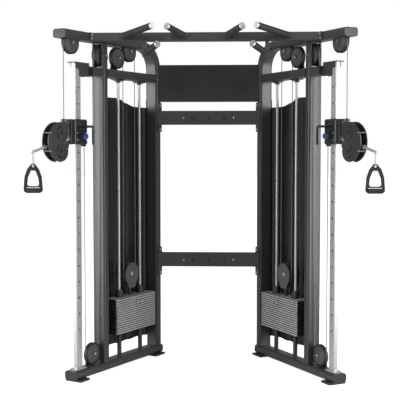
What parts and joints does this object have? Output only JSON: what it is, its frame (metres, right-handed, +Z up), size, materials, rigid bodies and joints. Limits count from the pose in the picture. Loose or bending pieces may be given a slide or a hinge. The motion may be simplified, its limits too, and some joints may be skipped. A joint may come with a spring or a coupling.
{
  "type": "functional trainer",
  "caption": "Cable-column gym machine: two toed-in towers with weight stacks, sliding swivel pulleys, stirrup handles and a gripped pull-up bar.",
  "frame": {"origin": "centre of the bounding box at floor level", "axes": "+Z up, -Y to the user's side, X across the two towers"},
  "size_m": [2.083, 1.1586, 2.1947],
  "materials": {
    "frame_paint": "semi-gloss charcoal powder coat",
    "panel_paint": "satin dark charcoal",
    "black_plastic": "fine moulded texture",
    "chrome": "polished",
    "polished_rod": "ground and polished",
    "dark_steel": "black oxide",
    "plate_iron": "machined edges, dark paint",
    "grip_rubber": "soft knurl",
    "cable_cover": "smooth coated cable",
    "carriage_plastic": "semi-gloss moulded",
    "bracket_steel": "silver-grey paint",
    "blue_plastic": "gloss",
    "pulley_nylon": "satin nylon",
    "pin_steel": "bright"
  },
  "bodies": {
    "frame": {"base_rails": "frame_paint", "plugs_and_pads": "black_plastic", "guide_columns": "chrome", "front_uprights": "frame_paint", "arch_frames": "frame_paint", "tower_crossmembers": "frame_paint", "guide_rods": "polished_rod", "rod_fittings": "dark_steel", "resting_plates": "plate_iron", "cover_panels": "panel_paint", "pull_up_bar": "frame_paint", "grip_sleeves": "grip_rubber", "grip_caps": "chrome", "crossbeams": "frame_paint", "fasteners": "dark_steel", "routed_cables": "cable_cover", "left_front_cable": "cable_cover", "left_lower_cable": "cable_cover", "left_stack_cables": "cable_cover", "right_front_cable": "cable_cover", "right_lower_cable": "cable_cover", "right_stack_cables": "cable_cover"},
    "left_carriage": {"left_carriage_housing": "carriage_plastic", "left_carriage_bracket": "bracket_steel"},
    "left_plunger": {"left_plunger": "blue_plastic"},
    "left_head": {"left_head_plates": "frame_paint", "left_head_cable": "cable_cover", "left_snap_link": "chrome"},
    "left_head_sheave_upper": {"left_head_pulley_upper": "pulley_nylon"},
    "left_head_sheave_lower": {"left_head_pulley_lower": "pulley_nylon"},
    "left_handle": {"left_stirrup": "black_plastic"},
    "left_grip": {"left_stirrup_grip": "grip_rubber"},
    "left_stack": {"left_lifted_plates": "plate_iron", "left_stack_yoke": "bracket_steel"},
    "left_stack_sheave": {"left_stack_pulley": "pulley_nylon"},
    "left_pin": {"left_selector_pin": "pin_steel"},
    "left_top_front_sheave": {"left_top_front_pulley": "pulley_nylon"},
    "left_upright_sheave": {"left_upright_pulley": "pulley_nylon"},
    "left_crossmember_sheave": {"left_crossmember_pulley": "pulley_nylon"},
    "left_top_rear_sheave": {"left_top_rear_pulley": "pulley_nylon"},
    "left_base_sheave": {"left_base_pulley": "pulley_nylon"},
    "right_carriage": {"right_carriage_housing": "carriage_plastic", "right_carriage_bracket": "bracket_steel"},
    "right_plunger": {"right_plunger": "blue_plastic"},
    "right_head": {"right_head_plates": "frame_paint", "right_head_cable": "cable_cover", "right_snap_link": "chrome"},
    "right_head_sheave_upper": {"right_head_pulley_upper": "pulley_nylon"},
    "right_head_sheave_lower": {"right_head_pulley_lower": "pulley_nylon"},
    "right_handle": {"right_stirrup": "black_plastic"},
    "right_grip": {"right_stirrup_grip": "grip_rubber"},
    "right_stack": {"right_lifted_plates": "plate_iron", "right_stack_yoke": "bracket_steel"},
    "right_stack_sheave": {"right_stack_pulley": "pulley_nylon"},
    "right_pin": {"right_selector_pin": "pin_steel"},
    "right_top_front_sheave": {"right_top_front_pulley": "pulley_nylon"},
    "right_upright_sheave": {"right_upright_pulley": "pulley_nylon"},
    "right_crossmember_sheave": {"right_crossmember_pulley": "pulley_nylon"},
    "right_top_rear_sheave": {"right_top_rear_pulley": "pulley_nylon"},
    "right_base_sheave": {"right_base_pulley": "pulley_nylon"}
  },
  "joints": [
    {"name": "left_top_front_spin", "type": "hinge", "parent": "frame", "child": "left_top_front_sheave", "pos_m": [-0.81821, -0.26259, 2.084], "axis": [0.8746, -0.4848, 0], "continuous": true},
    {"name": "left_upright_spin", "type": "hinge", "parent": "frame", "child": "left_upright_sheave", "pos_m": [-0.67665, -0.0072, 2.03], "axis": [0.8746, -0.4848, 0], "continuous": true},
    {"name": "left_crossmember_spin", "type": "hinge", "parent": "frame", "child": "left_crossmember_sheave", "pos_m": [-0.58958, 0.14988, 2.03], "axis": [0.8746, -0.4848, 0], "continuous": true},
    {"name": "left_top_rear_spin", "type": "hinge", "parent": "frame", "child": "left_top_rear_sheave", "pos_m": [-0.52558, 0.26533, 2.084], "axis": [0.8746, -0.4848, 0], "continuous": true},
    {"name": "left_base_spin", "type": "hinge", "parent": "frame", "child": "left_base_sheave", "pos_m": [-0.72464, -0.09378, 0.138], "axis": [0.8746, -0.4848, 0], "continuous": true},
    {"name": "left_carriage_slide", "type": "slide", "parent": "frame", "child": "left_carriage", "axis": [0, 0, 1], "range_m": [-1.1, 0.2], "deforming": ["left_front_cable", "left_lower_cable"]},
    {"name": "left_plunger_pull", "type": "slide", "parent": "left_carriage", "child": "left_plunger", "axis": [0.8746, -0.4848, 0], "range_m": [-0.012, 0.006]},
    {"name": "left_head_swivel", "type": "hinge", "parent": "left_carriage", "child": "left_head", "pos_m": [-0.85021, -0.32031, 1.535], "axis": [0, 0, 1], "range_deg": [-75, 75]},
    {"name": "left_head_upper_spin", "type": "hinge", "parent": "left_head", "child": "left_head_sheave_upper", "pos_m": [-0.87542, -0.36579, 1.535], "axis": [0.8746, -0.4848, 0], "continuous": true},
    {"name": "left_head_lower_spin", "type": "hinge", "parent": "left_head", "child": "left_head_sheave_lower", "pos_m": [-0.87542, -0.36579, 1.426], "axis": [0.8746, -0.4848, 0], "continuous": true},
    {"name": "left_handle_swing", "type": "hinge", "parent": "left_head", "child": "left_handle", "pos_m": [-0.98547, -0.56433, 1.3418], "axis": [0, 1, 0], "range_deg": [-40, 40]},
    {"name": "left_grip_spin", "type": "hinge", "parent": "left_handle", "child": "left_grip", "pos_m": [-0.98547, -0.56433, 1.198], "axis": [1, 0, 0], "continuous": true},
    {"name": "left_stack_lift", "type": "slide", "parent": "frame", "child": "left_stack", "axis": [0, 0, 1], "range_m": [0, 1.1], "deforming": ["left_stack_cables"]},
    {"name": "left_stack_spin", "type": "hinge", "parent": "left_stack", "child": "left_stack_sheave", "pos_m": [-0.52558, 0.26533, 0.602], "axis": [0.8746, -0.4848, 0], "continuous": true},
    {"name": "left_pin_pull", "type": "slide", "parent": "left_stack", "child": "left_pin", "axis": [0.8746, -0.4848, 0], "range_m": [0, 0.13]},
    {"name": "right_top_front_spin", "type": "hinge", "parent": "frame", "child": "right_top_front_sheave", "pos_m": [0.81821, -0.26259, 2.084], "axis": [0.8746, 0.4848, 0], "continuous": true},
    {"name": "right_upright_spin", "type": "hinge", "parent": "frame", "child": "right_upright_sheave", "pos_m": [0.67665, -0.0072, 2.03], "axis": [0.8746, 0.4848, 0], "continuous": true},
    {"name": "right_crossmember_spin", "type": "hinge", "parent": "frame", "child": "right_crossmember_sheave", "pos_m": [0.58958, 0.14988, 2.03], "axis": [0.8746, 0.4848, 0], "continuous": true},
    {"name": "right_top_rear_spin", "type": "hinge", "parent": "frame", "child": "right_top_rear_sheave", "pos_m": [0.52558, 0.26533, 2.084], "axis": [0.8746, 0.4848, 0], "continuous": true},
    {"name": "right_base_spin", "type": "hinge", "parent": "frame", "child": "right_base_sheave", "pos_m": [0.72464, -0.09378, 0.138], "axis": [0.8746, 0.4848, 0], "continuous": true},
    {"name": "right_carriage_slide", "type": "slide", "parent": "frame", "child": "right_carriage", "axis": [0, 0, 1], "range_m": [-1.1, 0.2], "deforming": ["right_front_cable", "right_lower_cable"]},
    {"name": "right_plunger_pull", "type": "slide", "parent": "right_carriage", "child": "right_plunger", "axis": [-0.8746, -0.4848, 0], "range_m": [-0.012, 0.006]},
    {"name": "right_head_swivel", "type": "hinge", "parent": "right_carriage", "child": "right_head", "pos_m": [0.85021, -0.32031, 1.535], "axis": [0, 0, 1], "range_deg": [-75, 75]},
    {"name": "right_head_upper_spin", "type": "hinge", "parent": "right_head", "child": "right_head_sheave_upper", "pos_m": [0.87542, -0.36579, 1.535], "axis": [0.8746, 0.4848, 0], "continuous": true},
    {"name": "right_head_lower_spin", "type": "hinge", "parent": "right_head", "child": "right_head_sheave_lower", "pos_m": [0.87542, -0.36579, 1.426], "axis": [0.8746, 0.4848, 0], "continuous": true},
    {"name": "right_handle_swing", "type": "hinge", "parent": "right_head", "child": "right_handle", "pos_m": [0.98547, -0.56433, 1.3418], "axis": [0, 1, 0], "range_deg": [-40, 40]},
    {"name": "right_grip_spin", "type": "hinge", "parent": "right_handle", "child": "right_grip", "pos_m": [0.98547, -0.56433, 1.198], "axis": [1, 0, 0], "continuous": true},
    {"name": "right_stack_lift", "type": "slide", "parent": "frame", "child": "right_stack", "axis": [0, 0, 1], "range_m": [0, 1.1], "deforming": ["right_stack_cables"]},
    {"name": "right_stack_spin", "type": "hinge", "parent": "right_stack", "child": "right_stack_sheave", "pos_m": [0.52558, 0.26533, 0.602], "axis": [0.8746, 0.4848, 0], "continuous": true},
    {"name": "right_pin_pull", "type": "slide", "parent": "right_stack", "child": "right_pin", "axis": [-0.8746, -0.4848, 0], "range_m": [0, 0.13]}
  ],
  "couplings": [
    {"joint": "left_top_front_spin", "follows": "left_stack_lift", "rad_per_m": 30.303},
    {"joint": "left_top_rear_spin", "follows": "left_stack_lift", "rad_per_m": 30.303},
    {"joint": "left_stack_spin", "follows": "left_stack_lift", "rad_per_m": 15.152},
    {"joint": "left_head_upper_spin", "follows": "left_stack_lift", "rad_per_m": -38.462},
    {"joint": "left_base_spin", "follows": "left_carriage_slide", "rad_per_m": -15.152},
    {"joint": "left_upright_spin", "follows": "left_carriage_slide", "rad_per_m": 15.152},
    {"joint": "left_crossmember_spin", "follows": "left_carriage_slide", "rad_per_m": 15.152},
    {"joint": "right_top_front_spin", "follows": "right_stack_lift", "rad_per_m": 30.303},
    {"joint": "right_top_rear_spin", "follows": "right_stack_lift", "rad_per_m": 30.303},
    {"joint": "right_stack_spin", "follows": "right_stack_lift", "rad_per_m": 15.152},
    {"joint": "right_head_upper_spin", "follows": "right_stack_lift", "rad_per_m": -38.462},
    {"joint": "right_base_spin", "follows": "right_carriage_slide", "rad_per_m": -15.152},
    {"joint": "right_upright_spin", "follows": "right_carriage_slide", "rad_per_m": 15.152},
    {"joint": "right_crossmember_spin", "follows": "right_carriage_slide", "rad_per_m": 15.152}
  ]
}
